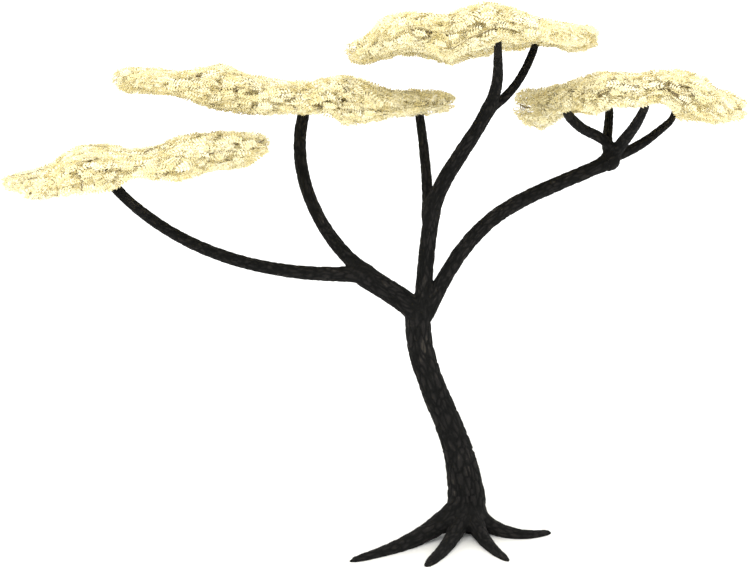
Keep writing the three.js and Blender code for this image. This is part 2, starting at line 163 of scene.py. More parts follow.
# A mass is a flat pad of foliage: its reach from end to end along X, its middle and half depth
# along Y, and the height of its mid surface and its half thickness at stations along X. Each stem
# grows on from a bough's tip and divides into that many ribs.
MASSES = {
    "foliage_low_left": {
        "seed": 11,
        "reach": (-6.72, -2.89),
        "middle": -0.90,
        "half_depth": 2.0,
        "spine": [
            (-6.60, 5.470, 0.190), (-6.35, 5.500, 0.140), (-6.05, 5.550, 0.145),
            (-5.67, 5.695, 0.265), (-5.45, 5.715, 0.300), (-5.20, 5.730, 0.280),
            (-5.03, 5.785, 0.165), (-4.78, 5.810, 0.105), (-4.46, 5.810, 0.180),
            (-4.18, 5.850, 0.280), (-3.67, 5.900, 0.295), (-3.20, 5.925, 0.300),
            (-3.00, 5.990, 0.260),
        ],
        "stems": {"long_left_bough": 10},
    },
    "foliage_high_left": {
        "seed": 30,
        "reach": (-5.54, -0.16),
        "middle": 0.90,
        "half_depth": 2.5,
        "spine": [
            (-5.39, 6.915, 0.315), (-4.93, 6.900, 0.230), (-4.39, 6.855, 0.200),
            (-4.12, 6.825, 0.285), (-3.87, 6.815, 0.360), (-3.25, 6.695, 0.280),
            (-2.85, 6.670, 0.245), (-2.45, 6.665, 0.235), (-2.15, 6.710, 0.255),
            (-1.95, 6.625, 0.385), (-1.80, 6.620, 0.385), (-1.35, 6.565, 0.240),
            (-1.00, 6.555, 0.225), (-0.45, 6.580, 0.270),
        ],
        "stems": {"rising_left_bough": 12, "middle_left_bough": 8},
    },
    "foliage_top": {
        "seed": 50,
        "reach": (-1.92, 1.77),
        "middle": -0.40,
        "half_depth": 2.2,
        "spine": [
            (-1.63, 7.290, 0.230), (-1.25, 7.495, 0.340), (-1.00, 7.570, 0.290),
            (-0.74, 7.545, 0.265), (-0.50, 7.480, 0.310), (-0.38, 7.470, 0.345),
            (-0.13, 7.570, 0.330), (0.14, 7.630, 0.350), (0.36, 7.655, 0.270),
            (0.60, 7.590, 0.235), (0.85, 7.575, 0.160), (1.10, 7.525, 0.175),
            (1.34, 7.475, 0.240), (1.55, 7.470, 0.275),
        ],
        "stems": {"top_left_branch": 8, "top_right_branch": 8},
    },
    "foliage_right": {
        "seed": 48,
        "reach": (0.63, 4.22),
        "middle": 0.50,
        "half_depth": 2.0,
        "spine": [
            (0.70, 6.560, 0.400), (0.85, 6.500, 0.415), (1.08, 6.465, 0.370),
            (1.40, 6.590, 0.270), (1.55, 6.670, 0.240), (1.90, 6.715, 0.340),
            (2.20, 6.790, 0.250), (2.45, 6.760, 0.260), (2.85, 6.815, 0.240),
            (3.05, 6.805, 0.265), (3.20, 6.690, 0.385), (3.47, 6.650, 0.380),
            (3.65, 6.570, 0.310), (3.78, 6.525, 0.280), (4.00, 6.485, 0.285),
        ],
        "stems": {
            "right_branch_outer_left": 6,
            "right_branch_back": 6,
            "right_branch_front": 6,
            "right_branch_outer_right": 6,
        },
    },
}

# The pad's shape: its rim is scalloped, its sides droop, and its thickness billows across and
# falls away to the rim.
SCALLOPS = 6
SCALLOP_DEPTH = 0.06
DROOP = 0.12
BILLOW_WIDTH = 1.5
BILLOW = 0.12
RIM_POWER = 5
# A pad's lumps aren't straight ridges across it. They fan out a little towards the back, from this
# place well in front of the tree.
FAN = (-1.45, -16.5)

# A stem goes straight on from its bough's tip before it bends, and thins to a share of its foot.
STEM_STRAIGHT = 0.16
STEM_RUN = 0.18
STEM_TAPER = 0.6
# Ribs run along the pad's mid surface, and twigs leave them on alternate sides, rising or falling.
RIB_SPREAD = 0.93
RIB_RADIUS = (0.026, 0.012)
RIB_STEP = 0.42
RIB_TURNED_ASIDE = 0.12
# A rib feels its way out by this share of a step, and bends at so many places for each step.
RIB_FEELER = 1 / 8
RIB_BENDS = 3
# A rib sways from side to side by this much, in waves of this length, and where in the wave it
# starts goes round this many times with its direction.
RIB_SWAY = 0.045
RIB_WAVE = 1.1
RIB_PHASE = 5
TWIG_SPACING = 0.34
TWIG_RADIUS = (0.017, 0.008)
TWIG_LENGTH = (0.42, 0.76)
TWIG_ANGLE = (35, 65)
TWIG_LIFT = 0.5
TWIG_SPREAD = 0.96
# A twig bows sideways and upwards by these shares of its length.
TWIG_BOW = (0.07, 0.05)
FIRST_TWIG = 0.7
LAST_TWIG = {"along": 0.9, "length": 0.21}
# Side twigs along a twig: the place along it, the turn away from its direction in degrees, and how
# far out the solid's leaf lies between the pad's mid surface, 0, and its skin, 1. The side twig's
# tip lies at a share of that.
SIDE_TWIGS = [
    (0.97, 12, 0.85), (0.97, -35, 0.98), (0.8, 55, 0.98), (0.65, -60, 0.95), (0.4, 50, 0.98),
]
SIDE_TWIG_LEVEL = 0.9
SIDE_TWIG_LENGTH = 0.54
SIDE_TWIG_TURN = 12
SIDE_TWIG_BEND = 0.13
SIDE_TWIG_SHARES = (0.9, 0.7, 0.5)
SIDE_TWIG_RADIUS = (0.007, 0.004)
SIDE_TWIG_SPREAD = 0.95
# Twiglets fill what is left of the pad: one for each place on a loose grid of this spacing, in
# layers about this thick, from the nearest twig.
PLACE_SPACING = 0.14
PLACE_LAYER = 0.15
FEWEST_LAYERS = 3
PLACE_JITTER = 0.35
PLACE_LEVEL = 0.86
HIGHEST_PLACE = 0.92
PLACE_SPREAD = 0.975
# Inside this level and this far from the rim is the pad's heart, where a share of places is kept.
HEART_LEVEL = 0.6
HEART_SPREAD = 0.85
HEART_SHARE = 0.45
# A twiglet reaches this far from the twigs' nodes, or more times as far where none is so near. It
# arches by a share of its length.
TWIGLET_REACH = 0.24
FURTHER_REACH = 1.3
TWIGLET_ARCH = 0.12
NODE_SPACING = 0.06
# A twiglet's foot is this thick, more by a power of the number of twiglets that grow on from it.
# It thins to a share of its foot at the middle, and ends at a share of the thinnest foot.
TWIGLET_RADIUS = 0.0026
TWIGLET_LOAD_POWER = 0.45
TWIGLET_MIDDLE = 0.85
TWIGLET_END = 0.6
# The sides of each kind of branch, and the places along a twig and a side twig.
SIDES = {"stem": 12, "rib": 6, "twig": 5, "side_twig": 4, "twiglet": 3}
TWIG_PLACES = 4
SIDE_TWIG_PLACES = 3
# The two barks of a mass's branches, by their places in its list of materials.
BRANCH_FINISH = 0
TWIG_FINISH = 1
# Leaves along a twiglet: the place along it and the turn away from its direction in degrees, give
# or take the loose turn. Their tips lie further out than the twiglet's end by the lift, give or
# take the loose level.
LEAVES_ON_A_TWIGLET = [(1.0, 0), (0.85, 55), (0.6, -60)]
LEAF_TURN = 75
LEAF_LIFT = 1.1
LEAF_LOOSE_LEVEL = 0.15
# A leaf's length, and how many times as long it may become where its tip is lifted.
LEAF_LENGTH = (0.17, 0.24)
LEAF_STRETCH = 1.15
# Leaf tips keep this far in from the rim and the skin. One that would leave the pad is turned aside
# by this much and shortened, a few times over.
LEAF_SPREAD = 0.99
LEAF_LEVEL = 0.95
LEAF_ASIDE = 50
LEAF_SHORTENING = 0.9
LEAF_TRIES = 4
# A leaf rolls by so many degrees, and by more near the rim, from this far out and fully after the
# fade.
LEAF_ROLL = 48
RIM_LEAF_ROLL = 78
RIM_ROLL_FROM = 0.75
RIM_ROLL_FADE = 0.2
# A leaf's form, in shares of its length: a stalk that arches down towards its end, and pairs of
# blades from its foot to its end, with the first and the last pair's place, turn away from the
# stalk in degrees, and length. One more blade stands at the end.
STALK_RADIUS = 0.012
STALK_END = (0.82, 0, -0.06)
STALK_ARCH = 0.08
LEAF_PAIRS = 4
BLADE_PLACE = (0.2, 0.74)
BLADE_TURN = (66, 42)
BLADE_LENGTH = (0.36, 0.28)
BLADE_LIFT = 0.12
BLADE_WIDTH = 0.14
END_BLADE = {"root": (0.76, 0, -0.05), "heading": (1, 0, -0.15), "length": 0.25}
# A blade is widest at this share of its length, and its sides stand up by this share of its width.
BLADE_HEART = 0.45
BLADE_KEEL = 0.22
# A leaf or twig keeps this far from the boughs' bark.
LIMB_CLEARANCE = 0.025


def mix(first, last, share):
    return first + (last - first) * share


def unit(vectors):
    return vectors / np.linalg.norm(vectors, axis=-1, keepdims=True)


# Centre lines


class Line:
    """A limb's centre line: even places, each with a radius and two directions across the limb."""

    def __init__(self, pulls, radius_at, steps):
        self.pulls = pulls
        share = np.linspace(0, 1, CURVE_POINTS)[:, None]
        curves = [np.array(pull, float)[None] for pull in pulls]
        while len(curves) > 1:
            curves = [mix(a, b, share) for a, b in zip(curves, curves[1:])]
        travelled = np.linalg.norm(np.diff(curves[0], axis=0), axis=1).cumsum()
        travelled = np.concatenate([[0], travelled])
        self.length = travelled[-1]
        self.along = np.linspace(0, self.length, steps + 1)
        axes = [np.interp(self.along, travelled, axis) for axis in curves[0].T]
        self.places = np.column_stack(axes)
        self.radius = radius_at(self.along, self.length)
        self.heading = unit(np.gradient(self.places, axis=0))
        reference = np.zeros(3)
        reference[np.argmin(np.abs(self.places[-1] - self.places[0]))] = 1
        self.side = unit(np.cross(self.heading, reference))
        self.across = unit(np.cross(self.side, self.heading))


def dome_share(left, dome):
    """The share of its radius that a limb has in a dome, that far from the limb's end."""
    return np.sqrt(1 - DOME_CLOSED * np.maximum(0, 1 - left / dome) ** 2)


def limb_line(name):
    """A bough's or the trunk's centre line."""
    limb = LIMBS[name]
    first, last = limb["radius"]
    divides = any(other.get("carried_by") == name for other in LIMBS.values())

    def radius_at(along, length):
        collar = limb.get("collar", 0) * np.exp(-along / COLLAR_LENGTH)
        knuckle = limb.get("knuckle", 0) * np.exp(-(((length - along) / KNUCKLE_LENGTH) ** 2))
        flare = 0 if "carried_by" in limb else TRUNK_FLARE * np.exp(-((along / FLARE_HEIGHT) ** 2))
        radius = mix(first, last, along / length) + collar + knuckle + flare
        if divides:
            radius *= dome_share(length - along, LIMB_DOME * last)
        if "carried_by" in limb:
            radius *= dome_share(along, START_DOME * first)
        return radius

    return Line(limb["path"], radius_at, LIMB_STEPS)


def root_line(azimuth, reach, rise, bend, radius):
    """A surface root's centre line, down from the trunk and out over the ground."""
    first, last = radius
    angle = math.radians(azimuth)
    out = np.array([math.cos(angle), math.sin(angle), 0])
    aside = np.array([-out[1], out[0], 0])

    def pull(shape, height):
        return shape["reach"] * reach * out + shape["bend"] * bend * aside + height * UP

    pulls = [
        ROOT_START * reach * out + rise * UP,
        pull(ROOT_SHOULDER, ROOT_SHOULDER["height"] * rise),
        pull(ROOT_SHIN, ROOT_SHIN["height"] * last),
        reach * out,
    ]

    def radius_at(along, length):
        tapered = mix(first, last, (along / length) ** ROOT_THINNING)
        tip = dome_share(length - along, ROOT_DOME * last)
        start = dome_share(along, START_DOME * first)
        return tapered * tip * start

    return Line(pulls, radius_at, ROOT_STEPS)


limb_lines = {name: limb_line(name) for name in LIMBS}
root_lines = [root_line(*root) for root in ROOTS]
wood_lines = [*limb_lines.values(), *root_lines]


# Materials


def linear(hex_colour):
    """An sRGB hex colour as linear red, green, blue and alpha."""
    parts = [int(hex_colour[i : i + 2], 16) / 255 for i in (1, 3, 5)]
    return [p / 12.92 if p <= 0.04045 else ((p + 0.055) / 1.055) ** 2.4 for p in parts] + [1.0]


def add_node(material, kind, settings=(), links=()):
    """Adds a node. Settings are its inputs' values or its own properties; links feed its inputs."""
    made = material.node_tree.nodes.new(kind)
    for name, value in dict(settings).items():
        if name in made.inputs:
            made.inputs[name].default_value = value
        else:
            setattr(made, name, value)
    for name, source in dict(links).items():
        material.node_tree.links.new(source, made.inputs[name])
    return made


def new_material(name, roughness, ior, specular):
    """A material and its shader, with the values that are the same all over."""
    material = bpy.data.materials.new(name)
    material.use_nodes = True
    shader = material.node_tree.nodes["Principled BSDF"]
    shader.inputs["Roughness"].default_value = roughness
    shader.inputs["IOR"].default_value = ior
    shader.inputs["Specular IOR Level"].default_value = specular
    return material, shader


def colour_ramp(material, source, stops):
    """A ramp of hex colours, each at its place from 0 to 1, read by a source."""
    ramp = add_node(material, "ShaderNodeValToRGB", links={"Fac": source})
    elements = ramp.color_ramp.elements
    while len(elements) < len(stops):
        elements.new(0.5)
    for element, (place, colour) in zip(elements, stops):
        element.position = place
        element.color = linear(colour)
    return ramp


def furrowed_bark():
    """Old acacia bark, split lengthwise into plates: dull near-black, with greyer worn crests and
    painted shade darkening its furrows.
    """
    material, shader = new_material("furrowed_bark", roughness=0.92, ior=1.5, specular=0.15)
    relief = add_node(material, "ShaderNodeAttribute", {"attribute_name": "relief"})
    grain = add_node(material, "ShaderNodeAttribute", {"attribute_name": "grain"})
    # Painted shade: the ramp darkens the bark to near-black down in its furrows, and greys it on its
    # worn crests.
    stops = [(0.0, "#080807"), (0.42, "#131312"), (0.8, "#211F1E"), (1.0, "#423E37")]
    colours = colour_ramp(material, relief.outputs["Fac"], stops)
    # Fibres are 5 mm wide and four times as long, coarser than life so that they show.
    fibre_width = 0.005
    stretched = add_node(
        material,
        "ShaderNodeMapping",
        {"Scale": (1.0, 1.0, 0.25)},
        {"Vector": grain.outputs["Vector"]},
    )
    fibres = add_node(
        material,
        "ShaderNodeTexNoise",
        {"Scale": 1 / fibre_width, "Detail": 3.0, "Roughness": 0.6},
        {"Vector": stretched.outputs["Vector"]},
    )
    shade = add_node(
        material,
        "ShaderNodeMapRange",
        {"From Min": 0.3, "From Max": 0.7, "To Min": 0.7, "To Max": 1.3},
        {"Value": fibres.outputs["Fac"]},
    )
    mottled = add_node(
        material,
        "ShaderNodeHueSaturation",
        links={"Value": shade.outputs["Result"], "Color": colours.outputs["Color"]},
    )
    bump = add_node(
        material,
        "ShaderNodeBump",
        {"Strength": 0.6, "Distance": 0.003},
        {"Height": fibres.outputs["Fac"]},
    )
    material.node_tree.links.new(mottled.outputs["Color"], shader.inputs["Base Color"])
    material.node_tree.links.new(bump.outputs["Normal"], shader.inputs["Normal"])
    return material


def smooth_bark(name, stops):
    """Young acacia bark, smooth and dull, with paler flecks a few millimetres across."""
    material, shader = new_material(name, roughness=0.85, ior=1.5, specular=0.15)
    place = add_node(material, "ShaderNodeTexCoord")
    fleck_width = 0.008
    flecks = add_node(
        material,
        "ShaderNodeTexNoise",
        {"Scale": 1 / fleck_width, "Detail": 2.0},
        {"Vector": place.outputs["Object"]},
    )
    colours = colour_ramp(material, flecks.outputs["Fac"], stops)
    material.node_tree.links.new(colours.outputs["Color"], shader.inputs["Base Color"])
    return material


def straw_leaf(name, shadow, light):
    """Dry feathery leaf, thin and matt: one straw tint, a little deeper in patches."""
    material, shader = new_material(name, roughness=0.7, ior=1.45, specular=0.3)
    place = add_node(material, "ShaderNodeTexCoord")
    patch_width = 0.05
    patches = add_node(
        material,
        "ShaderNodeTexNoise",
        {"Scale": 1 / patch_width, "Detail": 1.0},
        {"Vector": place.outputs["Object"]},
    )
    colours = colour_ramp(material, patches.outputs["Fac"], [(0.35, shadow), (0.6, light)])
    material.node_tree.links.new(colours.outputs["Color"], shader.inputs["Base Color"])
    return material


BARK = furrowed_bark()
# Branches are nearly as dark as the boughs, and the year's twigs are dry and pale.
BRANCH_BARK = smooth_bark("branch_bark", [(0.35, "#171614"), (0.6, "#23211F"), (0.75, "#33302B")])
TWIG_BARK = smooth_bark("twig_bark", [(0.35, "#7A6D55"), (0.6, "#988A6B"), (0.75, "#B5A684")])
# Four tints of dry leaf, from sun-bleached to golden.
LEAF_TINTS = [
    straw_leaf("bleached_straw_leaf", "#FBF2CC", "#FEF8DC"),
    straw_leaf("straw_leaf", "#F9EFC4", "#FDF5D2"),
    straw_leaf("deep_straw_leaf", "#F4E8B6", "#F9EEC2"),
    straw_leaf("golden_leaf", "#EBDCA4", "#F2E5B1"),
]


# Trunk, roots and boughs

# The joined wood is remeshed at this size, and cut level in two at this height, under the fork.
WOOD_VOXEL = 0.015
WOOD_CUT = 3.2
# Edges sharper than this, in degrees, stay sharp: those of the level cuts.
SHARP = 70
# Forks are rounded over about this radius, and by this much more near the ground, where the roots
# leave the trunk.
CROTCH = 0.017
FOOT_CROTCH = 0.022
FOOT_HEIGHT = 0.6
# Bark furrows lie this far apart, plus a share of the limb's radius. That is about twice as wide
# as in life, so that they show. Plates are this many times as long as they are wide.
FURROW_SPACING = 0.034
FURROW_SPACING_SHARE = 0.16
PLATE_STRETCH = 3.2
# Half the furrows' depth, as a share of the limb's radius.
FURROW_DEPTH_SHARE = 0.055
# Past this distance between the nearest two plate centres, in furrow spacings, a plate is level.
PLATE_EDGE = 0.34
# The bark's forms in shares of its relief's half height: how high the plates stand, how far their
# outlines wander, how high they crumble and how high they swell, with how often each comes for each
# furrow spacing.
PLATE_HIGH = 1.5
WANDER = {"often": 0.8, "far": 0.55}
CRUMBLE = {"often": 2.2, "high": 0.35, "smooth": 0.9, "finer": 2.1, "layers": 3}
SWELL = {"often": 0.45, "high": 0.3}
# Each limb's bark starts this much further on in the pattern and in the grain than the last one's.
PATTERN_SHIFT = 17.3
GRAIN_SHIFT = 3.1
# A limb has no say further than this from its bark. Below this share its say leaves no bark.
SAY_REACH = 0.15
LEAST_SAY = 0.02
# The mesh is moved onto the joined limbs in this many passes, and measured so many places at a time.
SKIN_PASSES = 3
PLACES_AT_ONCE = 4000
# Before they are joined, the tubes are cut and rounded this finely.
TUBE_CUTS = 9
TUBE_ROUNDING = 4


def bare_tube(line):
    """A round tube on a curve through a line's pulls, with the line's radius at its points."""
    bpy.ops.curve.primitive_bezier_curve_add(location=(0, 0, 0))
    tube = bpy.context.object
    first, last = tube.data.splines[0].bezier_points
    for point in (first, last):
        point.handle_left_type = "FREE"
        point.handle_right_type = "FREE"
    first.co = first.handle_left = line.pulls[0]
    first.handle_right = line.pulls[1]
    last.handle_left = line.pulls[2]
    last.co = last.handle_right = line.pulls[3]
    bpy.ops.object.mode_set(mode="EDIT")
    bpy.ops.curve.select_all(action="SELECT")
    bpy.ops.curve.subdivide(number_cuts=TUBE_CUTS)
    bpy.ops.object.mode_set(mode="OBJECT")
    for point in tube.data.splines[0].bezier_points:
        nearest = np.argmin(np.linalg.norm(line.places - np.array(point.co), axis=1))
        point.radius = line.radius[nearest]
    tube.data.bevel_depth = 1.0
    tube.data.bevel_resolution = TUBE_ROUNDING
    tube.data.use_fill_caps = True
    bpy.ops.object.convert(target="MESH")
    return bpy.context.object


def nearest_on_line(places, line):
    """Each place against a line: distance out of its bark, outward direction and nearest share."""
    start = line.places[:-1]
    step = line.places[1:] - start
    offset = places[:, None] - start
    share = np.einsum("pak,ak->pa", offset, step) / np.einsum("ak,ak->a", step, step)
    share = np.clip(share, 0, 1)
    away = offset - share[..., None] * step
    distance = np.linalg.norm(away, axis=2)
    clear = distance - mix(line.radius[:-1], line.radius[1:], share)
    rows = np.arange(len(places))
    best = np.argmin(clear, axis=1)
    outward = away[rows, best] / np.maximum(distance[rows, best], 1e-9)[:, None]
    return clear[rows, best], outward, best + share[rows, best]


def against_wood(places, lines):
    """Each place against all lines near it: index, distance, direction and share, line by line."""
    found = []
    for line in lines:
        margin = line.radius.max() + SAY_REACH
        low = line.places.min(axis=0) - margin
        high = line.places.max(axis=0) + margin
        near = np.flatnonzero(((places > low) & (places < high)).all(axis=1))
        chunks = np.array_split(near, len(near) // PLACES_AT_ONCE + 1)
        parts = [nearest_on_line(places[chunk], line) for chunk in chunks]
        clear, outward, share = (np.concatenate(column) for column in zip(*parts))
        found.append((line, near, clear, outward, share))
    return found


def blended(places, lines):
    """The distance out of the smoothly joined limbs, the way out, and each limb's say in it."""
    found = against_wood(places, lines)
    crotch = CROTCH + FOOT_CROTCH * np.exp(-((places[:, 2] / FOOT_HEIGHT) ** 2))
    total = np.zeros(len(places))
    outward = np.zeros((len(places), 3))
    weights = []
    for _, near, clear, direction, _ in found:
        weight = np.exp(-clear / crotch[near])
        weights.append(weight)
        total[near] += weight
        outward[near] += weight[:, None] * direction
    says = [weight / total[near] for weight, (_, near, _, _, _) in zip(weights, found)]
    return -crotch * np.log(total), unit(outward), says, found


def plate_height(x, y, z):
    """Bark height from -1 in a furrow to about 1 on a plate, at a place in furrow spacings."""
    place = Vector((x, y, z))
    wandering = place + WANDER["far"] * noise.noise_vector(place * WANDER["often"])
    near, beyond = noise.voronoi(wandering)[0][:2]
    plate = min(1.0, (beyond - near) / PLATE_EDGE)
    crumbling = noise.fractal(
        place * CRUMBLE["often"], CRUMBLE["smooth"], CRUMBLE["finer"], CRUMBLE["layers"]
    )
    swelling = noise.noise(place * SWELL["often"])
    return PLATE_HIGH * plate - 1.0 + CRUMBLE["high"] * crumbling + SWELL["high"] * swelling


def bark_on(line, share, outward, number):
    """Bark height and grain coordinates on a limb."""
    along = share * line.length / (len(line.places) - 1)
    index = np.clip(np.round(share).astype(int), 0, len(line.places) - 1)
    sideways = np.einsum("pk,pk->p", outward, line.side[index])
    crossways = np.einsum("pk,pk->p", outward, line.across[index])
    around = np.column_stack([sideways, crossways])
    typical = np.median(line.radius)
    spacing = FURROW_SPACING + FURROW_SPACING_SHARE * typical
    lengthwise = along / (spacing * PLATE_STRETCH) + PATTERN_SHIFT * number
    pattern = np.column_stack([around * typical / spacing, lengthwise])
    height = np.array([plate_height(*place) for place in pattern])
    grain = np.column_stack([around * line.radius[index][:, None], along + GRAIN_SHIFT * number])
    return height, grain, line.radius[index]


def dress_in_bark(wood):
    """Moves the mesh onto the smoothly joined limbs and raises the bark's plates on it."""
    places = np.empty(3 * len(wood.data.vertices))
    wood.data.vertices.foreach_get("co", places)
    places = places.reshape(-1, 3)
    for _ in range(SKIN_PASSES):
        clear, outward, _, _ = blended(places, wood_lines)
        places -= clear[:, None] * outward
    _, outward, says, found = blended(places, wood_lines)
    relief = np.zeros(len(places))
    depth = np.zeros(len(places))
    grain = np.zeros((len(places), 3))
    strongest = np.zeros(len(places))
    for number, (say, (line, near, _, direction, share)) in enumerate(zip(says, found)):
        heard = say > LEAST_SAY
        near, say = near[heard], say[heard]
        height, own_grain, radius = bark_on(line, share[heard], direction[heard], number)
        relief[near] += say * height
        depth[near] += say * radius * FURROW_DEPTH_SHARE
        leads = say > strongest[near]
        grain[near[leads]] = own_grain[leads]
        strongest[near[leads]] = say[leads]
    places += (depth * relief)[:, None] * outward
    wood.data.vertices.foreach_set("co", places.ravel())
    store(wood, "relief", "FLOAT", "value", np.clip(0.5 + 0.5 * relief, 0, 1))
    store(wood, "grain", "FLOAT_VECTOR", "vector", grain.ravel())
    wood.data.update()


def store(piece, name, kind, field, values):
    """Keeps a value for each vertex, which the material reads."""
    attribute = piece.data.attributes.new(name, kind, "POINT")
    attribute.data.foreach_set(field, values)


def cut_level(piece, height, keep_above):
    """Cuts a piece level, keeps what is above the cut or below it, and closes the cut."""
    bpy.ops.object.select_all(action="DESELECT")
    piece.select_set(True)
    bpy.context.view_layer.objects.active = piece
    bpy.ops.object.mode_set(mode="EDIT")
    bpy.ops.mesh.select_all(action="SELECT")
    bpy.ops.mesh.bisect(
        plane_co=(0, 0, height),
        plane_no=(0, 0, 1),
        use_fill=True,
        clear_inner=keep_above,
        clear_outer=not keep_above,
    )
    bpy.ops.object.mode_set(mode="OBJECT")


def finish_wood(piece, nodes):
    """Shades a piece of wood, gives it its bark and hides the nodes that it stands in for."""
    bpy.ops.object.shade_smooth_by_angle(angle=math.radians(SHARP))
    piece.data.materials.clear()
    piece.data.materials.append(BARK)
    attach(piece, "root")
    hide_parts(*nodes)
    piece.select_set(False)


def make_wood():
    """The trunk with its roots, and the boughs on the trunk's top, as two pieces with one skin."""
    tubes = [bare_tube(line) for line in wood_lines]
    for tube in tubes:
        tube.select_set(True)
    bpy.ops.object.join()
    wood = bpy.context.object
    remesh = wood.modifiers.new("one_skin", "REMESH")
    remesh.mode = "VOXEL"
    remesh.voxel_size = WOOD_VOXEL
    bpy.ops.object.modifier_apply(modifier=remesh.name)
    dress_in_bark(wood)
    bpy.ops.object.duplicate()
    boughs = bpy.context.object
    boughs.name = "boughs"
    cut_level(boughs, WOOD_CUT, keep_above=True)
    finish_wood(boughs, LIMBS)
    wood.name = "trunk_and_roots"
    cut_level(wood, WOOD_CUT, keep_above=False)
    cut_level(wood, 0, keep_above=True)
    finish_wood(wood, ["trunk"])


# Foliage


def seeded(seed):
    """A repeatable source of numbers from 0 to 1, the same as the solids are grown by."""
    state = seed
    whole = 1 << 32

    def number():
        nonlocal state
        state = (state + 0x6D2B79F5) % whole
        mixed = (state ^ (state >> 15)) * (state | 1) % whole
        mixed = (mixed + (mixed ^ (mixed >> 7)) * (mixed | 61)) % whole ^ mixed
        return (mixed ^ (mixed >> 14)) / whole

    return number


class Pad:
    """The space that a mass keeps to."""

    def __init__(self, mass):
        left, right = mass["reach"]
        self.centre = (left + right) / 2
        self.half_length = (right - left) / 2
        self.middle = mass["middle"]
        self.half_depth = mass["half_depth"]
        self.spine = np.array(mass["spine"])

    def at_station(self, x, y, column):
        """The mid surface's height (column 1) or the half thickness (column 2)."""
        along = FAN[0] + (x - FAN[0]) * (self.middle - FAN[1]) / (y - FAN[1])
        after = np.searchsorted(self.spine[:, 0], along, side="right")
        after = np.clip(after, 1, len(self.spine) - 1)
        low, high = self.spine[after - 1], self.spine[after]
        share = np.clip((along - low[..., 0]) / (high[..., 0] - low[..., 0]), 0, 1)
        return mix(low[..., column], high[..., column], share * share * (3 - 2 * share))

    def outward(self, x, y):
        """0 at the pad's centre, 1 on its rim."""
        u = (x - self.centre) / self.half_length
        v = (y - self.middle) / self.half_depth
        return np.hypot(u, v) / (1 - SCALLOP_DEPTH * (1 - np.cos(SCALLOPS * np.arctan2(v, u))))

    def half_at(self, x, y):
        rounding = np.sqrt(np.maximum(0, 1 - self.outward(x, y) ** RIM_POWER))
        billow = 1 - BILLOW * (1 - np.cos(2 * np.pi * (y - self.middle) / BILLOW_WIDTH))
        return self.at_station(x, y, 2) * rounding * billow

    def place(self, x, y, level):
        """Level 0 is on the mid surface, 1 on the upper skin and -1 on the lower."""
        middle = self.at_station(x, y, 1) - DROOP * ((y - self.middle) / self.half_depth) ** 2
        return np.stack([x, y, middle + level * self.half_at(x, y)], axis=-1)


class Growth:
    """A mass's branches, each a run of places with a radius at each, and the nodes along them."""

    def __init__(self, pad, random):
        self.pad = pad
        self.random = random
        self.branches = []
        self.nodes = []

    def add(self, places, radii, sides, finish):
        self.branches.append((np.array(places), np.array(radii), sides, finish))
        for start, end in zip(places, places[1:]):
            steps = max(1, round(float(np.linalg.norm(end - start)) / NODE_SPACING))
            self.nodes += [mix(start, end, (i + 1) / steps) for i in range(steps)]


def clear_of_limbs(places):
    """True for each place that is clear of the boughs' bark."""
    clear = np.ones(len(places), bool)
    for _, near, distance, _, _ in against_wood(places, limb_lines.values()):
        clear[near[distance < LIMB_CLEARANCE]] = False
    return clear


def stem_on(pad, bough):
    """A stem's places, from its bough's tip to where it meets the pad's mid surface."""
    line = limb_lines[bough]
    foot = line.places[-1]
    heading = line.heading[-1]
    end = foot + STEM_RUN * heading
    pulls = [foot, foot + STEM_STRAIGHT * heading, pad.place(end[0], end[1], 0)]

    def radius_at(along, length):
        return line.radius[-1] * mix(1, STEM_TAPER, along / length)

    return Line(pulls, radius_at, STEM_STEPS)


def bowed(root, end, sideways, upwards, shares):
    """Places at shares of the way along a twig that bows by shares of its length."""
    shares = np.reshape(shares, (-1, 1))
    bow = sideways * np.cross(end - root, UP) + upwards * np.linalg.norm(end - root) * UP
    return root + shares * (end - root) + 4 * shares * (1 - shares) * bow


def add_side_twigs(growth, twig, azimuth, side):
    """Side twigs stand where the solid's leaves do, and end just under the pad's skin."""
    for along, turn, level in SIDE_TWIGS:
        loose = mix(-SIDE_TWIG_TURN, SIDE_TWIG_TURN, growth.random())
        turned = azimuth + math.radians(turn + loose)
        bend = mix(-SIDE_TWIG_BEND, SIDE_TWIG_BEND, growth.random())
        base = bowed(*twig, along)[0]
        for share in SIDE_TWIG_SHARES:
            x = base[0] + share * SIDE_TWIG_LENGTH * math.cos(turned)
            y = base[1] + share * SIDE_TWIG_LENGTH * math.sin(turned)
            tip = growth.pad.place(x, y, SIDE_TWIG_LEVEL * side * level)
            if growth.pad.outward(x, y) < SIDE_TWIG_SPREAD and clear_of_limbs(tip[None])[0]:
                places = bowed(base, tip, bend, TWIG_BOW[1], np.linspace(0, 1, SIDE_TWIG_PLACES))
                radii = np.linspace(*SIDE_TWIG_RADIUS, SIDE_TWIG_PLACES)
                growth.add(places, radii, SIDES["side_twig"], TWIG_FINISH)
                break


def add_twig(growth, root, azimuth, length, side):
    """A twig, on the upper side of the pad where side is 1 and on the lower where -1."""
    x = root[0] + length * math.cos(azimuth)
    y = root[1] + length * math.sin(azimuth)
    end = growth.pad.place(x, y, side * TWIG_LIFT)
    if growth.pad.outward(x, y) > TWIG_SPREAD or not clear_of_limbs(end[None])[0]:
        return
    twig = (root, end, side * TWIG_BOW[0], TWIG_BOW[1])
    places = bowed(*twig, np.linspace(0, 1, TWIG_PLACES))
    growth.add(places, np.linspace(*TWIG_RADIUS, TWIG_PLACES), SIDES["twig"], TWIG_FINISH)
    add_side_twigs(growth, twig, azimuth, side)


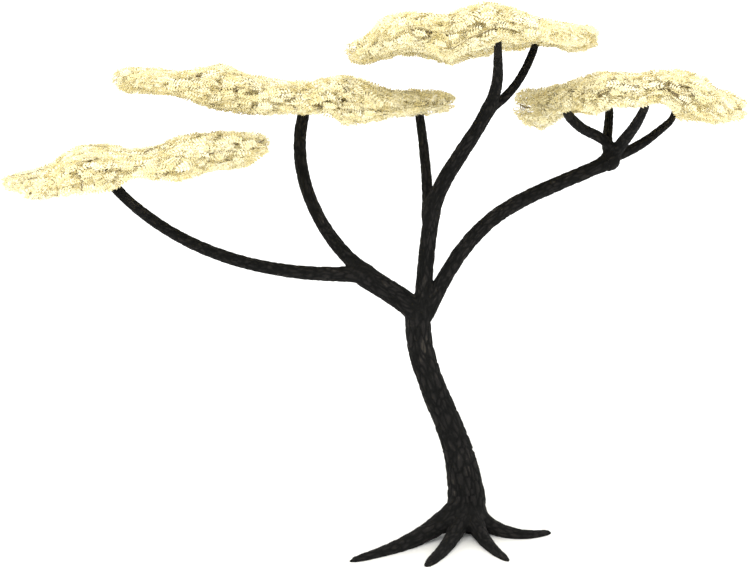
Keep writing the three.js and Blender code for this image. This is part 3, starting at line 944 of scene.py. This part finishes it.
def add_rib(growth, heads, own, azimuth):
    """A rib runs out over the ground that is nearer to its own stem's head than to the others."""
    pad, random = growth.pad, growth.random
    head = heads[own]

    def at(distance):
        phase = RIB_PHASE * azimuth
        aside = RIB_SWAY * (math.sin(2 * math.pi * distance / RIB_WAVE + phase) - math.sin(phase))
        x = head[0] + distance * math.cos(azimuth) - aside * math.sin(azimuth)
        y = head[1] + distance * math.sin(azimuth) + aside * math.cos(azimuth)
        return pad.place(x, y, 0)

    def on_own_ground(place):
        distances = [math.hypot(other[0] - place[0], other[1] - place[1]) for other in heads]
        return distances[own] <= min(distances)

    reach = 0
    place = at(0)
    while pad.outward(place[0], place[1]) < RIB_SPREAD and on_own_ground(place):
        reach += RIB_FEELER * RIB_STEP
        place = at(reach)
    steps = round(reach / RIB_STEP)
    if steps < 1:
        return
    places = [at(share * reach) for share in np.linspace(0, 1, RIB_BENDS * steps + 1)]
    growth.add(places, np.linspace(*RIB_RADIUS, len(places)), SIDES["rib"], TWIG_FINISH)
    along, twig = FIRST_TWIG * TWIG_SPACING, 0
    while along < reach:
        turn = (1 if twig % 2 else -1) * math.radians(mix(*TWIG_ANGLE, random()))
        side = 1 if twig % 4 < 2 else -1
        add_twig(growth, at(along), azimuth + turn, mix(*TWIG_LENGTH, random()), side)
        along, twig = along + TWIG_SPACING, twig + 1
    add_twig(growth, at(LAST_TWIG["along"] * reach), azimuth, LAST_TWIG["length"], 1)


def open_places(pad, dice):
    """Places for twiglets' ends, evenly spread through the pad, with fewer in its heart."""
    reach = np.array([pad.half_length, pad.half_depth])
    axes = [np.arange(-half, half, PLACE_SPACING) for half in reach]
    grid = np.stack(np.meshgrid(*axes), axis=-1).reshape(-1, 2) + (pad.centre, pad.middle)
    grid += dice.uniform(-PLACE_JITTER, PLACE_JITTER, grid.shape) * PLACE_SPACING
    grid = grid[pad.outward(*grid.T) < PLACE_SPREAD]
    places = []
    levels = []
    for x, y in grid:
        thickness = 2 * float(pad.half_at(x, y))
        layers = max(FEWEST_LAYERS, round(thickness / PLACE_LAYER) + 1)
        loose = PLACE_JITTER * 2 * PLACE_LEVEL / (layers - 1)
        for level in np.linspace(-PLACE_LEVEL, PLACE_LEVEL, layers):
            in_heart = abs(level) <= HEART_LEVEL and pad.outward(x, y) <= HEART_SPREAD
            if not in_heart or dice.random() < HEART_SHARE:
                level = np.clip(level + dice.uniform(-loose, loose), -HIGHEST_PLACE, HIGHEST_PLACE)
                levels.append(level)
                places.append(pad.place(x, y, level))
    places, levels = np.array(places), np.array(levels)
    clear = clear_of_limbs(places)
    return places[clear], levels[clear]


def add_twiglets(growth, places, levels):
    """Joins each open place to the nearest twig by a twiglet, from the nearest places outwards."""
    nodes = [Vector(node) for node in growth.nodes]
    owners = [-1] * len(nodes)
    twiglets = []
    waiting = list(range(len(places)))
    reach = TWIGLET_REACH
    while waiting:
        tree = kdtree.KDTree(len(nodes))
        for i, node in enumerate(nodes):
            tree.insert(node, i)
        tree.balance()
        later = []
        for i in waiting:
            start, node, distance = tree.find(places[i])
            if distance > reach:
                later.append(i)
                continue
            end = Vector(places[i])
            middle = (start + end) / 2 + Vector((0, 0, TWIGLET_ARCH * distance))
            twiglets.append((np.array([start, middle, end]), owners[node], levels[i]))
            nodes += [middle, end]
            owners += [len(twiglets) - 1] * 2
        reach = reach if len(later) < len(waiting) else FURTHER_REACH * reach
        waiting = later
    loads = np.ones(len(twiglets))
    for i in reversed(range(len(twiglets))):
        if twiglets[i][1] >= 0:
            loads[twiglets[i][1]] += loads[i]
    for (run, _, _), load in zip(twiglets, loads):
        foot = TWIGLET_RADIUS * load**TWIGLET_LOAD_POWER
        radii = np.array([foot, TWIGLET_MIDDLE * foot, TWIGLET_END * TWIGLET_RADIUS])
        growth.branches.append((run, radii, SIDES["twiglet"], TWIG_FINISH))
    return np.array([run for run, _, _ in twiglets]), np.array([level for _, _, level in twiglets])


def grow_mass(name):
    """A mass's branches and its twiglets, by the same rule and the same numbers as its solid."""
    mass = MASSES[name]
    pad = Pad(mass)
    growth = Growth(pad, seeded(mass["seed"]))
    stems = [stem_on(pad, bough) for bough in mass["stems"]]
    heads = [stem.places[-1] for stem in stems]
    for own, (stem, ribs) in enumerate(zip(stems, mass["stems"].values())):
        growth.add(stem.places, stem.radius, SIDES["stem"], BRANCH_FINISH)
        for rib in range(ribs):
            turned_aside = mix(-RIB_TURNED_ASIDE, RIB_TURNED_ASIDE, growth.random())
            add_rib(growth, heads, own, (rib + turned_aside) * 2 * math.pi / ribs)
    dice = np.random.default_rng(mass["seed"])
    twiglets, levels = add_twiglets(growth, *open_places(pad, dice))
    return growth, twiglets, levels, dice


def branch_mesh(branches):
    """All branches as closed tapering tubes: vertices, faces and each face's finish."""
    vertices, faces, finishes = [], [], []
    count = 0
    for places, radii, sides, finish in branches:
        heading = unit(np.gradient(places, axis=0))
        reference = np.zeros(3)
        reference[np.argmin(np.abs(places[-1] - places[0]))] = 1
        side = unit(np.cross(heading, reference))
        across = np.cross(side, heading)
        angles = np.arange(sides) * 2 * np.pi / sides
        ring = np.cos(angles)[:, None, None] * side + np.sin(angles)[:, None, None] * across
        vertices.append((places + radii[:, None] * ring).transpose(1, 0, 2).reshape(-1, 3))
        rings = len(places)
        for step in range(rings - 1):
            low = count + step * sides
            for i in range(sides):
                j = (i + 1) % sides
                faces.append((low + i, low + sides + i, low + sides + j, low + j))
        last = count + (rings - 1) * sides
        faces.append(tuple(range(count, count + sides)))
        faces.append(tuple(reversed(range(last, last + sides))))
        finishes += [finish] * (sides * (rings - 1) + 2)
        count += rings * sides
    return np.concatenate(vertices), faces, finishes


def blade(root, heading, length, width):
    """A blade: a thin diamond of four faces, keeled underneath, as rows of vertices."""
    side = unit(np.cross(UP, heading))
    heart = root + BLADE_HEART * length * heading + BLADE_KEEL * width * UP
    return [root, root + length * heading, heart + 0.5 * width * side, heart - 0.5 * width * side]


# The faces of a blade and of a stalk, as places in their rows of four vertices.
BLADE_FACES = [(0, 3, 2), (1, 2, 3), (0, 2, 1), (0, 1, 3)]
STALK_FACES = [(0, 1, 3), (1, 2, 3), (2, 0, 3), (2, 1, 0)]


def feathery_leaf(pairs):
    """One leaf of unit length along +X: a slim arched stalk, paired blades and one at its end."""
    rows = []
    for corner in (0, 120, 240):
        angle = math.radians(corner)
        rows.append(np.array([0, STALK_RADIUS * math.cos(angle), STALK_RADIUS * math.sin(angle)]))
    rows.append(np.array(STALK_END))
    faces = list(STALK_FACES)
    for pair in range(pairs):
        share = pair / (pairs - 1)
        place = mix(*BLADE_PLACE, share)
        root = np.array([place, 0, -STALK_ARCH * place**2])
        for hand in (-1, 1):
            angle = hand * math.radians(mix(*BLADE_TURN, share))
            heading = unit(np.array([math.cos(angle), math.sin(angle), BLADE_LIFT]))
            faces += [tuple(len(rows) + i for i in face) for face in BLADE_FACES]
            rows += blade(root, heading, mix(*BLADE_LENGTH, share), BLADE_WIDTH)
    faces += [tuple(len(rows) + i for i in face) for face in BLADE_FACES]
    root, heading = np.array(END_BLADE["root"]), unit(np.array(END_BLADE["heading"]))
    rows += blade(root, heading, END_BLADE["length"], BLADE_WIDTH)
    return np.array(rows), np.array(faces)


def leaf_settings(pad, twiglets, levels, dice):
    """Each leaf's root, tip and roll. One that would leave the pad turns aside or is left out."""
    start, middle, end = twiglets.transpose(1, 0, 2)
    heading = np.arctan2(end[:, 1] - start[:, 1], end[:, 0] - start[:, 0])
    hand = np.where(np.arange(len(end)) % 2, 1, -1)
    roots, tips = [], []
    for along, turn in LEAVES_ON_A_TWIGLET:
        root = mix(middle, end, 2 * along - 1)
        loose_turn = dice.uniform(-LEAF_TURN, LEAF_TURN, len(end))
        azimuth = heading + np.radians(hand * turn + loose_turn)
        loose_level = dice.uniform(-LEAF_LOOSE_LEVEL, LEAF_LOOSE_LEVEL, len(end))
        level = np.clip(LEAF_LIFT * levels + loose_level, -LEAF_LEVEL, LEAF_LEVEL)
        length = dice.uniform(*LEAF_LENGTH, len(end))
        aside = np.radians(hand * LEAF_ASIDE)
        for _ in range(LEAF_TRIES):
            x = root[:, 0] + length * np.cos(azimuth)
            y = root[:, 1] + length * np.sin(azimuth)
            leaves_pad = pad.outward(x, y) > LEAF_SPREAD
            length = np.where(leaves_pad, LEAF_SHORTENING * length, length)
            azimuth = np.where(leaves_pad, azimuth + aside, azimuth)
        x = root[:, 0] + length * np.cos(azimuth)
        y = root[:, 1] + length * np.sin(azimuth)
        aim = pad.place(x, y, level) - root
        reach = np.minimum(np.linalg.norm(aim, axis=1), LEAF_STRETCH * length)
        tip = root + unit(aim) * reach[:, None]
        kept = pad.outward(x, y) < LEAF_SPREAD
        roots.append(root[kept])
        tips.append(tip[kept])
    roots, tips = np.concatenate(roots), np.concatenate(tips)
    clear = clear_of_limbs(tips)
    roots, tips = roots[clear], tips[clear]
    past = pad.outward(tips[:, 0], tips[:, 1]) - RIM_ROLL_FROM
    at_rim = np.clip(past / RIM_ROLL_FADE, 0, 1)
    rolls = np.radians(mix(LEAF_ROLL, RIM_LEAF_ROLL, at_rim)) * dice.uniform(-1, 1, len(tips))
    return roots, tips, rolls


def leaf_mesh(roots, tips, rolls):
    """All leaves as one mesh: vertices and faces."""
    rows, faces = feathery_leaf(LEAF_PAIRS)
    along = tips - roots
    length = np.linalg.norm(along, axis=1)
    ahead = along / length[:, None]
    side = unit(np.cross(UP, ahead))
    above = np.cross(ahead, side)
    rolled = np.cos(rolls)[:, None] * side + np.sin(rolls)[:, None] * above
    lifted = np.cross(ahead, rolled)
    axes = np.stack([ahead, rolled, lifted], axis=1) * length[:, None, None]
    vertices = roots[:, None] + np.einsum("vk,lkc->lvc", rows, axes)
    numbered = faces[None] + len(rows) * np.arange(len(roots))[:, None, None]
    return vertices.reshape(-1, 3), numbered.reshape(-1, 3)


def joined_piece(name, vertices, faces, finishes, materials, node):
    """One piece from arrays, in its own materials, standing for a mass's node."""
    mesh = bpy.data.meshes.new(name)
    mesh.from_pydata(vertices, [], faces)
    for material in materials:
        mesh.materials.append(material)
    mesh.polygons.foreach_set("material_index", np.array(finishes, np.int32))
    piece = bpy.data.objects.new(name, mesh)
    bpy.context.collection.objects.link(piece)
    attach(piece, "root")
    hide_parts(node)
    return piece


# A joined piece of leaves has at most this many faces.
MOST_FACES = 190000
# How often each tint of leaf is dealt.
TINT_SHARES = (0.3, 0.4, 0.2, 0.1)


def make_mass(name):
    """A mass's twigs as one piece and its leaves as one or two, dealt out along X."""
    growth, twiglets, levels, dice = grow_mass(name)
    vertices, faces, finishes = branch_mesh(growth.branches)
    twigs = joined_piece(
        f"{name}_twigs", vertices, faces, finishes, [BRANCH_BARK, TWIG_BARK], name
    )
    twigs.data.shade_smooth()
    roots, tips, rolls = leaf_settings(growth.pad, twiglets, levels, dice)
    order = np.argsort(roots[:, 0], kind="stable")
    tints = dice.choice(len(LEAF_TINTS), len(roots), p=TINT_SHARES)
    faces_each = len(feathery_leaf(LEAF_PAIRS)[1])
    parts = math.ceil(len(roots) * faces_each / MOST_FACES)
    for part, chosen in enumerate(np.array_split(order, parts), 1):
        vertices, faces = leaf_mesh(roots[chosen], tips[chosen], rolls[chosen])
        finishes = np.repeat(tints[chosen], faces_each)
        piece_name = f"{name}_leaves_{part}"
        joined_piece(piece_name, vertices, faces, finishes, LEAF_TINTS, name)


# Studio

# The sky lights evenly, and the lamp, turned by these degrees, shines down from the front and left.
FLOOR_RADIUS = 150
SKY_STRENGTH = 1.58
LAMP_TURNS = (38, -22, 0)
LAMP_STRENGTH = 0.45
LAMP_WIDTH = 25
# The camera stands 16.5 m in front of the tree and looks down by 9.5 degrees. Lens and sensor are
# in millimetres.
CAMERA_PLACE = (-1.447, -16.5, 6.629)
CAMERA_TURNS = (80.5, 0, 0)
CAMERA_LENS = 53
CAMERA_SENSOR = 36
FURTHEST_SEEN = 500


def in_radians(degrees):
    return [math.radians(turn) for turn in degrees]


def make_studio():
    """A wide pale floor, a white sky that lights evenly, and one large soft lamp."""
    bpy.ops.mesh.primitive_circle_add(vertices=96, radius=FLOOR_RADIUS, fill_type="NGON")
    floor = bpy.context.object
    floor.name = "floor"
    floor.select_set(False)
    material, shader = new_material("matt_white_floor", roughness=0.9, ior=1.45, specular=0.1)
    shader.inputs["Base Color"].default_value = linear("#F4F4F2")
    floor.data.materials.append(material)
    world = bpy.context.scene.world or bpy.data.worlds.new("studio")
    bpy.context.scene.world = world
    world.use_nodes = True
    background = world.node_tree.nodes["Background"]
    background.inputs["Color"].default_value = (1, 1, 1, 1)
    background.inputs["Strength"].default_value = SKY_STRENGTH
    bpy.ops.object.light_add(type="SUN", rotation=in_radians(LAMP_TURNS))
    lamp = bpy.context.object
    lamp.data.energy = LAMP_STRENGTH
    lamp.data.angle = math.radians(LAMP_WIDTH)
    lamp.select_set(False)
    bpy.context.scene.view_settings.view_transform = "Standard"


def make_camera():
    """The photo's view: from in front, a little above the crown's height, looking slightly down."""
    bpy.ops.object.camera_add(location=CAMERA_PLACE, rotation=in_radians(CAMERA_TURNS))
    camera = bpy.context.object
    camera.data.lens = CAMERA_LENS
    camera.data.sensor_width = CAMERA_SENSOR
    camera.data.clip_end = FURTHEST_SEEN
    camera.select_set(False)
    bpy.context.scene.camera = camera


make_wood()
for mass_name in MASSES:
    make_mass(mass_name)
make_studio()
make_camera()
